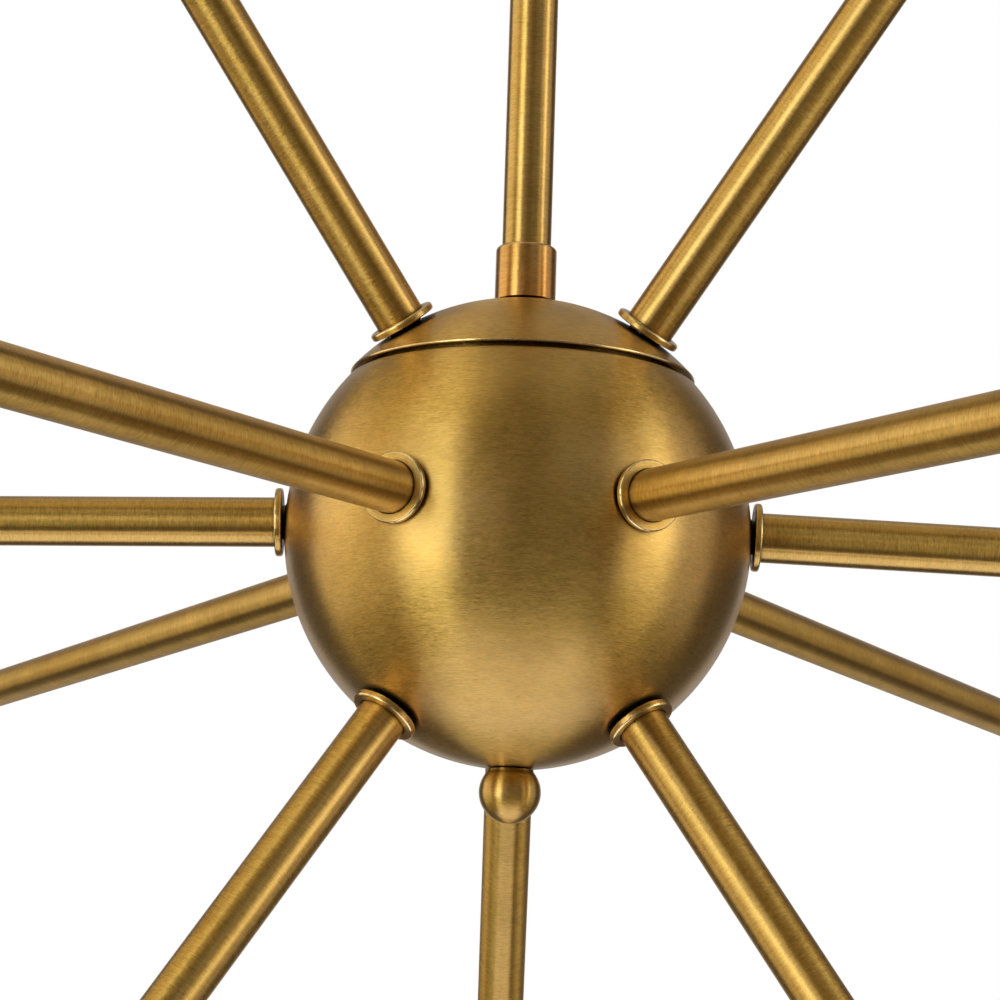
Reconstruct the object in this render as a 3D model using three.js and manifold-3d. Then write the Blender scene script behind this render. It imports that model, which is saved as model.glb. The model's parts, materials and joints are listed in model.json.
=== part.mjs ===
// Multi arm chandelier: a hollow ball hub on a two-piece stem, with twelve straight tubular
// arms in three rows, each ending in a lampholder. It hangs from a canopy and a crossbar on a
// ceiling box, through a swivel that turns about the vertical and tilts to suit a slope.
// Millimetres, +Z up. The origin is the middle of the ceiling mount, on the ceiling's surface.
import * as THREE from "three";
import { mergeVertices } from "three/addons/utils/BufferGeometryUtils.js";
import Module from "manifold-3d";

const wasm = await Module();
wasm.setup();

// ---- Driving dimensions ----
const GAP = 0.3; // left between pieces that touch

const TUBE_R = 6.35; // half-inch tube, for the arms and the stem
const TUBE_BORE_R = 5.35;
const THREAD_R = 4.9; // M10 lamp thread
const THREAD_BORE_R = 3.5;
const SMALL_THREAD_R = 1.9; // M4 screws and studs
const ROD_END_R = 3; // the centre rod's thin end, which the finial screws onto
const NUT_R = 8.5; // from the middle of a lamp thread's locknut to its corners
const ARM_NUT = { radius: 8, at: 48, thickness: 4.5 }; // a tube's locknut, inside the ball

const BALL_R = 60;
const BALL_WALL = 1.5;
const LID_LIFT = 1.6; // the lid's centre of curvature stands this far above the ball's
const LID_EDGE = 48 * THREE.MathUtils.DEG2RAD; // angle from the crown to the lid's rim
const BODY_EDGE = 48.4 * THREE.MathUtils.DEG2RAD; // angle from the crown to the ball's own rim
const LIP_R = 41; // outside of the lip that stands up inside the lid
const LIP_TOP = 42.2; // height of the lip above the ball's centre

const ARM_END = 410; // distance from the hub's centre line to the end of a tube
const WASHER_R = 8.75;
const WASHER_T = 1.8;

// A row's arms lean by `tilt` degrees from straight up, along lines that start `rise` above the
// ball's centre, at the `turns`: degrees round from the front.
const ROWS = {
  upper: { tilt: 38, rise: 5, turns: [60, 180, 300], centre: LID_LIFT },
  middle: { tilt: 91.6, rise: 3.4, turns: [30, 90, 150, 210, 270, 330], centre: 0 },
  lower: { tilt: 143.5, rise: 0.6, turns: [60, 180, 300], centre: 0 },
};

const COLLAR_R = 7.9;
const COLLAR_TOP = 76.3; // above the ball's centre
const COLLAR_ROUND = 1.9;
const SOCKET_DEPTH = 10; // how far a stem tube goes into the collar or the coupling

const FINIAL_R = 7.85;
const FINIAL_TOP_R = 5.9;

const HOLDER_R = 17;
const HOLDER_BORE_R = 13.4; // inside the screw shell of an E26 lampholder
const HOLDER_DEPTH = 32;
const HOLDER_LENGTH = 67;
const HOLDER_NECK_R = 9;
const HOLDER_SKIN = 1.2; // thickness of its metal cup
const HOLDER_FLOOR = 4; // thickness of the insulating block under the screw shell

const STEM_UPPER_LENGTH = 304.8;
const STEM_LOWER_LENGTH = 304.8;
const COUPLING_LAND = 2;

const CANOPY_R = 63.5;
const CANOPY_HEIGHT = 22;
const CANOPY_WALL = 1.2;
const CANOPY_ROUND = 4;
const CANOPY_HEM = 3;
const STUD_X = 31;

const CROSSBAR = { length: 108, width: 18, thickness: 2.4 };
const BOX_SCREW_X = 44.45; // half of the 3.5 in between a ceiling box's ears
const GROUND_X = 17;

const SWIVEL_R = 11;
const FORK_DISC = 9.2; // thickness of the fork's round top
const CHEEK = { inner: 4.2, outer: 8, half: 7 };
const TONGUE_HALF = 3.8;
const PIVOT_Z = -41;
const PIN_R = 2.4;
const KNUCKLE_CLEAR = 9.5; // from the pivot to the flat of either half
const SWIVEL_BASE = 8; // thickness of the lower half's round base
const SPIGOT = 9;

const ARM_ROUND = 12; // sides of the pieces that every arm repeats
const ROUND = 16; // sides of the stem and the other small turned pieces
const BIG_ROUND = 28; // sides of the ball and the canopy

// ---- Heights that follow from them ----
const tongueBase = PIVOT_Z - KNUCKLE_CLEAR - SWIVEL_BASE;
const stemUpperTop = tongueBase - GAP;
const stemUpperEnd = stemUpperTop - STEM_UPPER_LENGTH;
const stemLowerTop = stemUpperEnd - COUPLING_LAND - 2 * GAP;
const stemLowerEnd = stemLowerTop - STEM_LOWER_LENGTH;
const hubZ = stemLowerEnd - COLLAR_TOP + SOCKET_DEPTH;

// ---- Colours ----
const FINISH = {
  satinBrass: { color: 0xb08a4a, roughness: 0.34, metalness: 1 },
  warmBrass: { color: 0xb5803c, roughness: 0.34, metalness: 1 },
  zincSteel: { color: 0xb9bcc0, roughness: 0.42, metalness: 1 },
  groundGreen: { color: 0x2f7d46, roughness: 0.5, metalness: 0.2 },
};

// ---- Shape helpers ----
const point = (r, z) => new THREE.Vector2(r, z);

// Points of a round corner about (r, z), both ends included.
function arc(r, z, radius, from, to, steps) {
  return Array.from({ length: steps + 1 }, (_, i) => {
    const angle = THREE.MathUtils.degToRad(from + ((to - from) * i) / steps);
    return point(r + radius * Math.cos(angle), z + radius * Math.sin(angle));
  });
}

// A profile of (radius, height) points, turned about Z. It runs anticlockwise.
function turned(profile, sides = ROUND) {
  return new THREE.LatheGeometry(profile, sides).rotateX(Math.PI / 2);
}

// A ring-shaped profile, closed on itself.
const ring = (...points) => [...points, points[0]];

// A plain rod along Z, from one height to another.
function rod(radius, from, to, sides = ROUND) {
  const shape = new THREE.CylinderGeometry(radius, radius, to - from, sides);
  return shape.rotateX(Math.PI / 2).translate(0, 0, (from + to) / 2);
}

// A tube along Z.
function tube(outer, inner, from, to, sides = ROUND) {
  const profile = ring(point(inner, from), point(outer, from), point(outer, to), point(inner, to));
  return turned(profile, sides);
}

function solidFrom(geometry) {
  const plain = geometry.clone();
  plain.deleteAttribute("normal");
  plain.deleteAttribute("uv");
  const welded = mergeVertices(plain, 1e-4);
  const vertProperties = welded.attributes.position.array;
  const triVerts = new Uint32Array(welded.index.array);
  return new wasm.Manifold(new wasm.Mesh({ numProp: 3, vertProperties, triVerts }));
}

function geometryFrom(solid) {
  const mesh = solid.getMesh();
  const geometry = new THREE.BufferGeometry();
  geometry.setAttribute("position", new THREE.BufferAttribute(mesh.vertProperties, 3));
  geometry.setIndex(new THREE.BufferAttribute(mesh.triVerts, 1));
  geometry.computeVertexNormals();
  return geometry;
}

const cut = (body, tools) =>
  geometryFrom(tools.reduce((left, tool) => left.subtract(solidFrom(tool)), solidFrom(body)));

const join = (pieces) =>
  geometryFrom(pieces.map(solidFrom).reduce((whole, piece) => whole.add(piece)));

// A hexagon locknut for the lamp thread.
const hexNut = (from, to) => cut(rod(NUT_R, from, to, 6), [rod(THREAD_R + GAP, from - 1, to + 1)]);

function makeMesh(name, geometry, finish) {
  const mesh = new THREE.Mesh(geometry, new THREE.MeshStandardMaterial(FINISH[finish]));
  mesh.name = name;
  return mesh;
}

// ---- Arms ----
// Turns +Z to an arm's direction: leaning towards the front, then round the hub.
function aim(target, row, turn) {
  target.position.set(0, 0, row.rise);
  const { degToRad } = THREE.MathUtils;
  target.rotation.set(degToRad(row.tilt), 0, degToRad(turn), "ZYX");
  return target;
}

// Distance along an arm's line from its start to the outside of the ball.
function surfaceAt(row) {
  const offset = row.rise - row.centre;
  const along = offset * Math.cos(THREE.MathUtils.degToRad(row.tilt));
  return Math.sqrt(BALL_R ** 2 - offset ** 2 + along ** 2) - along;
}

// The tube, its threaded end and the locknut that draws it against the ball.
function armTube(row) {
  const seat = surfaceAt(row) + GAP;
  const inner = ARM_NUT.at - 4;
  const body = turned(
    ring(
      point(THREAD_BORE_R, inner),
      point(THREAD_R, inner),
      point(THREAD_R, seat),
      point(TUBE_R, seat),
      point(TUBE_R, ARM_END),
      point(TUBE_BORE_R, ARM_END),
      point(TUBE_BORE_R, seat + 6),
      point(THREAD_BORE_R, seat + 6),
    ),
    ARM_ROUND,
  );
  const nutEnd = ARM_NUT.at + ARM_NUT.thickness;
  const nut = tube(ARM_NUT.radius, THREAD_BORE_R + 0.7, ARM_NUT.at, nutEnd, 6);
  return join([body, nut]);
}

// A dished trim washer with a chamfered outer edge.
function armWasher(row) {
  const base = surfaceAt(row) + GAP;
  const bore = TUBE_R + GAP;
  return turned(
    ring(
      point(bore, base),
      point(WASHER_R, base),
      point(WASHER_R, base + WASHER_T - 0.5),
      point(WASHER_R - 0.5, base + WASHER_T),
      point(bore, base + WASHER_T),
    ),
    ARM_ROUND,
  );
}

// A lampholder: its metal cup and the insulated screw shell inside it, as one piece. The space
// behind the insulator is hollow, and the wires reach it from the tube.
function lampholder() {
  const back = ARM_END - 12;
  const front = back + HOLDER_LENGTH;
  const floor = front - HOLDER_DEPTH;
  const inside = HOLDER_R - HOLDER_SKIN;
  return turned(
    ring(
      point(TUBE_R + GAP, back),
      point(HOLDER_NECK_R, back),
      point(HOLDER_NECK_R, back + 6),
      point(HOLDER_R, back + 12),
      point(HOLDER_R, front),
      point(HOLDER_BORE_R, front),
      point(HOLDER_BORE_R, floor),
      point(THREAD_BORE_R, floor),
      point(THREAD_BORE_R, floor - HOLDER_FLOOR),
      point(inside, floor - HOLDER_FLOOR),
      point(inside, back + 14),
      point(TUBE_R + GAP, back + 9),
    ),
    ARM_ROUND,
  );
}

function addArms(hub) {
  for (const [rowName, row] of Object.entries(ROWS)) {
    row.turns.forEach((turn, i) => {
      const arm = aim(new THREE.Group(), row, turn);
      const label = `${rowName}_${i + 1}`;
      arm.add(makeMesh(`arm_tube_${label}`, armTube(row), "satinBrass"));
      arm.add(makeMesh(`arm_washer_${label}`, armWasher(row), "satinBrass"));
      arm.add(makeMesh(`lampholder_${label}`, lampholder(), "satinBrass"));
      hub.add(arm);
    });
  }
}

// ---- Ball ----
// The holes that the arms' threaded ends go through, in the ball's frame.
function armHoles(rowNames) {
  return rowNames.flatMap((rowName) => {
    const row = ROWS[rowName];
    return row.turns.map((turn) => {
      const place = aim(new THREE.Object3D(), row, turn);
      place.updateMatrix();
      const around = surfaceAt(row);
      return rod(THREAD_R + GAP, around - 8, around + 8, ARM_ROUND).applyMatrix4(place.matrix);
    });
  });
}

// The open ball: a sphere cut off under the lid, with a lip that centres the lid.
function hubBody() {
  const inner = BALL_R - BALL_WALL;
  const shoulder = BALL_R * Math.cos(BODY_EDGE);
  const shoulderAngle = 90 - THREE.MathUtils.radToDeg(BODY_EDGE);
  const flangeUnder = shoulder - BALL_WALL;
  const lipInner = LIP_R - BALL_WALL;
  const flangeAngle = THREE.MathUtils.radToDeg(Math.asin(flangeUnder / inner));
  const shell = turned(
    [
      ...arc(0, 0, BALL_R, -90, shoulderAngle, 13),
      point(LIP_R, shoulder),
      point(LIP_R, LIP_TOP),
      point(lipInner, LIP_TOP),
      point(lipInner, flangeUnder),
      ...arc(0, 0, inner, flangeAngle, -90, 9),
    ],
    BIG_ROUND,
  );
  const rodHole = rod(ROD_END_R + GAP, -BALL_R - 5, -BALL_R + 5, 12);
  return cut(shell, [rodHole, ...armHoles(["middle", "lower"])]);
}

// The lid: a shallow cap of the same radius, lifted a little, with a plain bevelled rim.
function hubLid() {
  const edge = 90 - THREE.MathUtils.radToDeg(LID_EDGE);
  const under = arc(0, LID_LIFT, BALL_R - BALL_WALL, 90, edge + 0.4, 5);
  const outside = arc(0, LID_LIFT, BALL_R, edge, 90, 6);
  const cap = turned([...under, ...outside], BIG_ROUND);
  const rodHole = rod(THREAD_R + GAP, BALL_R - 10, BALL_R + 10, 12);
  return cut(cap, [rodHole, ...armHoles(["upper"])]);
}

function hubCollar() {
  const foot = LID_LIFT + BALL_R + 0.1;
  const bore = TUBE_R + GAP;
  const stop = COLLAR_TOP - SOCKET_DEPTH - GAP;
  return turned(
    ring(
      point(THREAD_R + GAP, foot),
      point(COLLAR_R, foot),
      ...arc(COLLAR_R - COLLAR_ROUND, COLLAR_TOP - COLLAR_ROUND, COLLAR_ROUND, 0, 60, 3),
      point(bore, COLLAR_TOP),
      point(bore, stop),
      point(THREAD_R + GAP, stop),
    ),
  );
}

// The threaded tube that ties collar, lid, ball and finial together.
function centreRod() {
  const top = COLLAR_TOP - SOCKET_DEPTH - 1;
  const step = -BALL_R + 8;
  const end = -BALL_R - 8;
  return turned([
    point(0, end),
    point(ROD_END_R, end),
    point(ROD_END_R, step),
    point(THREAD_R, step),
    point(THREAD_R, top),
    point(THREAD_BORE_R, top),
    point(THREAD_BORE_R, step + 20),
    point(0, step + 20),
  ]);
}

function finial() {
  const flat = Math.sqrt(FINIAL_R ** 2 - FINIAL_TOP_R ** 2);
  const centre = -BALL_R - 0.35 - flat;
  const flatAngle = THREE.MathUtils.radToDeg(Math.atan2(flat, FINIAL_TOP_R));
  const bore = ROD_END_R + GAP;
  return turned([
    ...arc(0, centre, FINIAL_R, -90, flatAngle, 7),
    point(bore, centre + flat),
    point(bore, centre - 4),
    point(0, centre - 4),
  ]);
}

function makeHub() {
  const hub = new THREE.Group();
  hub.position.z = hubZ;
  const lidUnder = LID_LIFT + BALL_R - BALL_WALL;
  hub.add(makeMesh("hub_body", hubBody(), "satinBrass"));
  hub.add(makeMesh("hub_lid", hubLid(), "satinBrass"));
  hub.add(makeMesh("hub_collar", hubCollar(), "warmBrass"));
  hub.add(makeMesh("centre_rod", centreRod(), "zincSteel"));
  hub.add(makeMesh("lid_locknut", hexNut(lidUnder - 5.2, lidUnder - 0.7), "zincSteel"));
  hub.add(makeMesh("finial", finial(), "satinBrass"));
  addArms(hub);
  return hub;
}

// ---- Stem ----
function coupling() {
  const middle = (stemUpperEnd + stemLowerTop) / 2;
  const half = COUPLING_LAND / 2;
  const reach = half + GAP + SOCKET_DEPTH;
  const bore = TUBE_R + GAP;
  return turned(
    ring(
      point(bore, middle - reach),
      point(COLLAR_R - 1, middle - reach),
      point(COLLAR_R, middle - reach + 1),
      point(COLLAR_R, middle + reach - 1),
      point(COLLAR_R - 1, middle + reach),
      point(bore, middle + reach),
      point(bore, middle + half),
      point(THREAD_BORE_R, middle + half),
      point(THREAD_BORE_R, middle - half),
      point(bore, middle - half),
    ),
  );
}

// ---- Swivel ----
// A cheek or tongue seen from the side: straight, then round about the pivot. `away` is the
// direction of the straight end: 1 for up, -1 for down. It spans X from one side to the other.
function knuckle(from, to, away) {
  const { half } = CHEEK;
  const outline = new THREE.Shape();
  outline.moveTo(-half, away * (KNUCKLE_CLEAR + 1));
  outline.lineTo(-half, 0);
  outline.absarc(0, 0, half, Math.PI, away > 0 ? 2 * Math.PI : 0, away < 0);
  outline.lineTo(half, away * (KNUCKLE_CLEAR + 1));
  outline.closePath();
  const options = { depth: to - from, bevelEnabled: false, curveSegments: 6 };
  const blank = new THREE.ExtrudeGeometry(outline, options);
  // The outline's X becomes Y, its Y becomes Z and its depth becomes X.
  const turn = new THREE.Matrix4().makeBasis(
    new THREE.Vector3(0, 1, 0),
    new THREE.Vector3(0, 0, 1),
    new THREE.Vector3(1, 0, 0),
  );
  return blank.applyMatrix4(turn).translate(from, 0, PIVOT_Z);
}

const acrossX = (geometry) => geometry.rotateY(Math.PI / 2).translate(0, 0, PIVOT_Z);

function swivelFork() {
  const top = PIVOT_Z + KNUCKLE_CLEAR + FORK_DISC;
  const disc = tube(SWIVEL_R, THREAD_R + GAP, PIVOT_Z + KNUCKLE_CLEAR, top);
  const cheeks = [knuckle(CHEEK.inner, CHEEK.outer, 1), knuckle(-CHEEK.outer, -CHEEK.inner, 1)];
  const pinHole = acrossX(rod(PIN_R + GAP, -12, 12));
  return cut(join([disc, ...cheeks]), [pinHole, rod(THREAD_R + GAP, PIVOT_Z + 9, top + 1)]);
}

// The wires leave the tongue through a cross hole at its foot, and go up beside it.
function swivelTongue() {
  const baseTop = PIVOT_Z - KNUCKLE_CLEAR;
  const base = rod(SWIVEL_R, tongueBase, baseTop);
  const spigot = rod(THREAD_R, tongueBase - SPIGOT, tongueBase + 1);
  const tongue = knuckle(-TONGUE_HALF, TONGUE_HALF, -1);
  const pinHole = acrossX(rod(PIN_R + GAP, -12, 12));
  const wireWay = rod(3.1, tongueBase - SPIGOT - 1, baseTop + 1.5, 12);
  const wireExit = rod(2.6, -12, 12, 12).rotateX(Math.PI / 2).translate(0, 0, baseTop + 2);
  return cut(join([base, spigot, tongue]), [pinHole, wireWay, wireExit]);
}

function swivelPin() {
  const inner = CHEEK.outer + GAP;
  return acrossX(
    turned([
      point(0, -inner - 1.3),
      point(3.6, -inner - 1.3),
      point(3.6, -inner),
      point(PIN_R, -inner),
      point(PIN_R, inner),
      point(3.6, inner),
      point(3.6, inner + 1.3),
      point(0, inner + 1.3),
    ]),
  );
}

// ---- Ceiling fitting ----
function canopy() {
  const face = -CANOPY_HEIGHT;
  const inside = face + CANOPY_WALL;
  const corner = CANOPY_R - CANOPY_ROUND;
  const bore = THREAD_R + GAP;
  const dish = turned(
    ring(
      point(bore, face),
      ...arc(corner, face + CANOPY_ROUND, CANOPY_ROUND, -90, 0, 4),
      point(CANOPY_R, 0),
      point(CANOPY_R - CANOPY_HEM, 0),
      point(CANOPY_R - CANOPY_HEM, -CANOPY_WALL),
      point(CANOPY_R - CANOPY_WALL, -CANOPY_WALL),
      ...arc(corner, face + CANOPY_ROUND, CANOPY_ROUND - CANOPY_WALL, 0, -90, 3),
      point(bore, inside),
    ),
    BIG_ROUND,
  );
  const studHole = (x) => rod(SMALL_THREAD_R + GAP, face - 1, inside + 1, 10).translate(x, 0, 0);
  return cut(dish, [studHole(-STUD_X), studHole(STUD_X)]);
}

function roundHole(x, radius) {
  return new THREE.Path().absarc(x, 0, radius, 0, 2 * Math.PI, true);
}

function slotHole(x, radius, reach) {
  const slot = new THREE.Path();
  slot.absarc(x + reach, 0, radius, Math.PI / 2, -Math.PI / 2, true);
  slot.absarc(x - reach, 0, radius, -Math.PI / 2, Math.PI / 2, true);
  slot.closePath();
  return slot;
}

function crossbar() {
  const { length, width, thickness } = CROSSBAR;
  const end = length / 2 - width / 2;
  const outline = new THREE.Shape();
  outline.absarc(end, 0, width / 2, -Math.PI / 2, Math.PI / 2, false);
  outline.absarc(-end, 0, width / 2, Math.PI / 2, -Math.PI / 2, false);
  outline.closePath();
  const small = SMALL_THREAD_R + GAP;
  outline.holes.push(
    roundHole(0, THREAD_R + GAP),
    roundHole(GROUND_X, small),
    ...[-1, 1].map((side) => roundHole(side * STUD_X, small)),
    ...[-1, 1].map((side) => slotHole(side * BOX_SCREW_X, small, 2.5)),
  );
  const options = { depth: thickness, bevelEnabled: false, curveSegments: 5 };
  return new THREE.ExtrudeGeometry(outline, options).translate(0, 0, -thickness);
}

// A round-headed screw whose head is under the crossbar and whose shank points up.
function panScrew(shankTop) {
  const under = -CROSSBAR.thickness - GAP;
  return turned(
    [
      point(0, under - 2.6),
      point(2.6, under - 2.6),
      point(3.9, under - 1.4),
      point(3.9, under),
      point(SMALL_THREAD_R, under),
      point(SMALL_THREAD_R, shankTop),
      point(0, shankTop),
    ],
    12,
  );
}

function canopyKnob() {
  const top = -CANOPY_HEIGHT - GAP;
  const bore = SMALL_THREAD_R + GAP;
  return turned([
    point(0, top - 10),
    point(3.6, top - 10),
    point(5, top - 8.6),
    point(5, top - 1),
    point(4.2, top),
    point(bore, top),
    point(bore, top - 7),
    point(0, top - 7),
  ]);
}

function makeCeilingFitting() {
  const fitting = new THREE.Group();
  const face = -CANOPY_HEIGHT;
  const inside = face + CANOPY_WALL + GAP;
  const under = -CROSSBAR.thickness - GAP;
  const nipple = tube(THREAD_R, THREAD_BORE_R, PIVOT_Z + KNUCKLE_CLEAR + 1, 2);
  fitting.add(makeMesh("canopy", canopy(), "satinBrass"));
  fitting.add(makeMesh("crossbar", crossbar(), "zincSteel"));
  fitting.add(makeMesh("canopy_nipple", nipple, "zincSteel"));
  fitting.add(makeMesh("crossbar_locknut", hexNut(under - 4, under), "zincSteel"));
  fitting.add(makeMesh("canopy_locknut", hexNut(inside, inside + 4), "zincSteel"));
  const ground = makeMesh("ground_screw", panScrew(3), "groundGreen");
  ground.position.x = GROUND_X;
  fitting.add(ground);
  for (const [side, sign] of [["left", -1], ["right", 1]]) {
    const stud = makeMesh(`canopy_stud_${side}`, rod(SMALL_THREAD_R, face - 6, 3, 12), "zincSteel");
    const knob = makeMesh(`canopy_knob_${side}`, canopyKnob(), "satinBrass");
    const screw = makeMesh(`mounting_screw_${side}`, panScrew(12), "zincSteel");
    stud.position.x = sign * STUD_X;
    knob.position.x = sign * STUD_X;
    screw.position.x = sign * BOX_SCREW_X;
    fitting.add(stud, knob, screw);
  }
  return fitting;
}

function makePendant() {
  const pendant = new THREE.Group();
  const upper = tube(TUBE_R, TUBE_BORE_R, stemUpperEnd, stemUpperTop);
  const lower = tube(TUBE_R, TUBE_BORE_R, stemLowerEnd, stemLowerTop);
  pendant.add(makeMesh("swivel_tongue", swivelTongue(), "satinBrass"));
  pendant.add(makeMesh("stem_upper", upper, "satinBrass"));
  pendant.add(makeMesh("stem_coupling", coupling(), "satinBrass"));
  pendant.add(makeMesh("stem_lower", lower, "satinBrass"));
  pendant.add(makeHub());
  return pendant;
}

// ---- The chandelier ----
const chandelier = new THREE.Group();
chandelier.add(makeCeilingFitting());
chandelier.add(makeMesh("swivel_fork", swivelFork(), "satinBrass"));
chandelier.add(makeMesh("swivel_pin", swivelPin(), "zincSteel"));
chandelier.add(makePendant());

export default chandelier;
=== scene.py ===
import json
import math

import bmesh
import bpy
from mathutils import Matrix, Vector


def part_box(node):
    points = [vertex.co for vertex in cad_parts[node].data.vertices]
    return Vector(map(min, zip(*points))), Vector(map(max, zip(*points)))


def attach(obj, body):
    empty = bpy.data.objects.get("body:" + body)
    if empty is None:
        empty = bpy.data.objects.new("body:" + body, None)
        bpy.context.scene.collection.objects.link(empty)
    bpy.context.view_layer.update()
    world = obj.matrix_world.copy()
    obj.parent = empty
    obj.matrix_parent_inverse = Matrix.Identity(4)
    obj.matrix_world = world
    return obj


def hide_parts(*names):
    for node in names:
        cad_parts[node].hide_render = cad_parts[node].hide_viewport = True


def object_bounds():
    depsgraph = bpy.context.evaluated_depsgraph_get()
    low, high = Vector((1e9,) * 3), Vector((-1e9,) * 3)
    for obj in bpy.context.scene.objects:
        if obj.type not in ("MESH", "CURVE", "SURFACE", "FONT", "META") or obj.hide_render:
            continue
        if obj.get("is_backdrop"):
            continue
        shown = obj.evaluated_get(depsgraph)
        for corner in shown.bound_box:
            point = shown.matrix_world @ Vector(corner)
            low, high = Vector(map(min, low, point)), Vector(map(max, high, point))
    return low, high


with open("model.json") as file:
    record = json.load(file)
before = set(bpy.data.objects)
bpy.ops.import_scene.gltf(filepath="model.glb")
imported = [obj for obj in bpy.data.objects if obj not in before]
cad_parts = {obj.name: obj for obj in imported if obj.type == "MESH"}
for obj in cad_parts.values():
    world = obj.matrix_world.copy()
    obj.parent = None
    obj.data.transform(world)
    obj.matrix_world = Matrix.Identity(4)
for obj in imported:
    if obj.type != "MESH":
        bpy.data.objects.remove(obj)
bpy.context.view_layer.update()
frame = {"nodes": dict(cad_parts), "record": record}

MM = 0.001
scene = bpy.context.scene

# ---- Sizes, in millimetres ----
GAP = 0.3  # the CAD's clearance between pieces that touch
TUBE_BORE = 5.35
THREAD_R = 4.9  # M10 lamp thread
THREAD_BORE = 3.5
THREAD_PITCH = 1.0
THREAD_DEPTH = 0.55
NUT_BORE = 4.45  # a nut's crests, which bite into the M10 thread
SMALL_THREAD_R = 1.9  # 8-32 thread
SMALL_PITCH = 0.8
ROD_END_R = 3.0  # the centre rod's end, in the finial
STEM_FIT = 0.12  # room round the stem in what it enters
WALL = 1.5  # the ball's sheet
LID_LIFT = 1.6  # how far the lid's centre is above the ball's
LID_EDGE = math.radians(48.4)
BODY_EDGE = math.radians(48.5)
LID_SHEET = 0.65  # the lid is thinner than the ball
LIP_R = 41  # the lip inside the lid that the body ends in
SOCKET_DEPTH = 32
SHELL_R = 13.4  # E26 screw shell
SHELL_PITCH = 3.63
SHELL_DEPTH = 0.8

WORN_AND_HIGHLIGHT_FILLET = 0.35  # the smallest fillet that is painted bright: partly metal rubbed bright, partly a painted highlight
FILLET_STEPS = 6
THREAD_ROWS = 7  # rows of points in one pitch of a thread

FINE = 192  # sides of the ball and the canopy
ROUND = 96  # sides of the tubes and the lampholders
SMALL = 48  # sides of the small turned pieces
NUT = 72  # sides of the hexagon nuts
KNURLED = 180  # sides of the knobs


# ---- Profiles ----
def rounded(corners, closed):
    """Points of a profile, each (radius, height, wave, edge highlight). A corner is (radius,
    height), with a fillet or a wave after it: a wave gives the radius at each turn round the axis,
    as on a thread. A fillet is painted bright along its middle, partly as metal rubbed bright and
    partly as a painted highlight."""
    points = []
    for i, (r, z, *more) in enumerate(corners):
        fillet = more[0] if more else None
        wave = fillet if callable(fillet) else None
        at_end = not closed and i in (0, len(corners) - 1)
        if fillet is None or wave or at_end:
            points.append((r, z, wave, 0.0))
            continue
        here = Vector((r, z))
        back = (Vector(corners[i - 1][:2]) - here).normalized()
        ahead = (Vector(corners[(i + 1) % len(corners)][:2]) - here).normalized()
        half = back.angle(ahead) / 2
        middle = here + (back + ahead).normalized() * fillet / math.sin(half)
        start = here + back * fillet / math.tan(half) - middle
        stop = here + ahead * fillet / math.tan(half) - middle
        for k in range(FILLET_STEPS + 1):
            outward = start.slerp(stop, k / FILLET_STEPS).normalized()
            # Painted highlight, partly metal rubbed bright: strongest in the middle of the fillet
            worn_and_highlight = math.sin(math.pi * k / FILLET_STEPS) if fillet >= WORN_AND_HIGHLIGHT_FILLET else 0.0
            points.append((*(middle + outward * fillet), None, worn_and_highlight))
    return points


def arc(r, z, radius, start, stop, steps):
    """Corners along a round stretch about (r, z), from one angle to another in degrees."""
    angles = [math.radians(start + (stop - start) * k / steps) for k in range(steps + 1)]
    return [(r + radius * math.cos(a), z + radius * math.sin(a)) for a in angles]


def thread(radius, start, stop, pitch, depth):
    """Corners along a screw thread whose crests are at the radius."""
    rows = max(2, round(abs(stop - start) / pitch * THREAD_ROWS))

    def wave(turn, z):
        return radius - depth * (0.5 - 0.5 * math.cos(2 * math.pi * (z / pitch - turn)))

    return [(radius, start + (stop - start) * k / rows, wave) for k in range(rows + 1)]


def lathe(corners, around=ROUND, closed=True):
    """A profile turned about Z, in metres. An open profile starts and ends on the axis."""
    bm = bmesh.new()
    # A mask for the painted highlight along fillets, which is partly metal rubbed bright
    wear_and_highlight = bm.verts.layers.float.new("wear_and_highlight")
    rings = []
    for r, z, wave, worn_and_highlight in rounded(corners, closed):
        sides = around if r > 1e-6 else 1
        ring = []
        for j in range(sides):
            turn = j / around
            radius = wave(turn, z) if wave else r
            angle = 2 * math.pi * turn
            spot = (radius * math.cos(angle) * MM, radius * math.sin(angle) * MM, z * MM)
            ring.append(bm.verts.new(spot))
            ring[-1][wear_and_highlight] = worn_and_highlight
        rings.append(ring)
    pairs = list(zip(rings, rings[1:]))
    if closed:
        pairs.append((rings[-1], rings[0]))
    for low, high in pairs:
        for j in range(around):
            k = (j + 1) % around
            quad = (low[j % len(low)], low[k % len(low)], high[k % len(high)], high[j % len(high)])
            bm.faces.new(list(dict.fromkeys(quad)))
    bmesh.ops.recalc_face_normals(bm, faces=bm.faces)
    return bm


def prism(outline, low, high):
    """A straight-sided solid on an outline in X and Y, in metres."""
    bm = bmesh.new()
    face = bm.faces.new([bm.verts.new((x * MM, y * MM, low * MM)) for x, y in outline])
    risen = bmesh.ops.extrude_face_region(bm, geom=[face])["geom"]
    top = [v for v in risen if isinstance(v, bmesh.types.BMVert)]
    bmesh.ops.translate(bm, verts=top, vec=(0, 0, (high - low) * MM))
    bmesh.ops.recalc_face_normals(bm, faces=bm.faces)
    return bm


# ---- Solids and pieces ----
def solid(bm, place=Matrix.Identity(4), name="solid"):
    mesh = bpy.data.meshes.new(name)
    bm.to_mesh(mesh)
    bm.free()
    made = bpy.data.objects.new(name, mesh)
    scene.collection.objects.link(made)
    made.matrix_world = place
    return made


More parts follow.
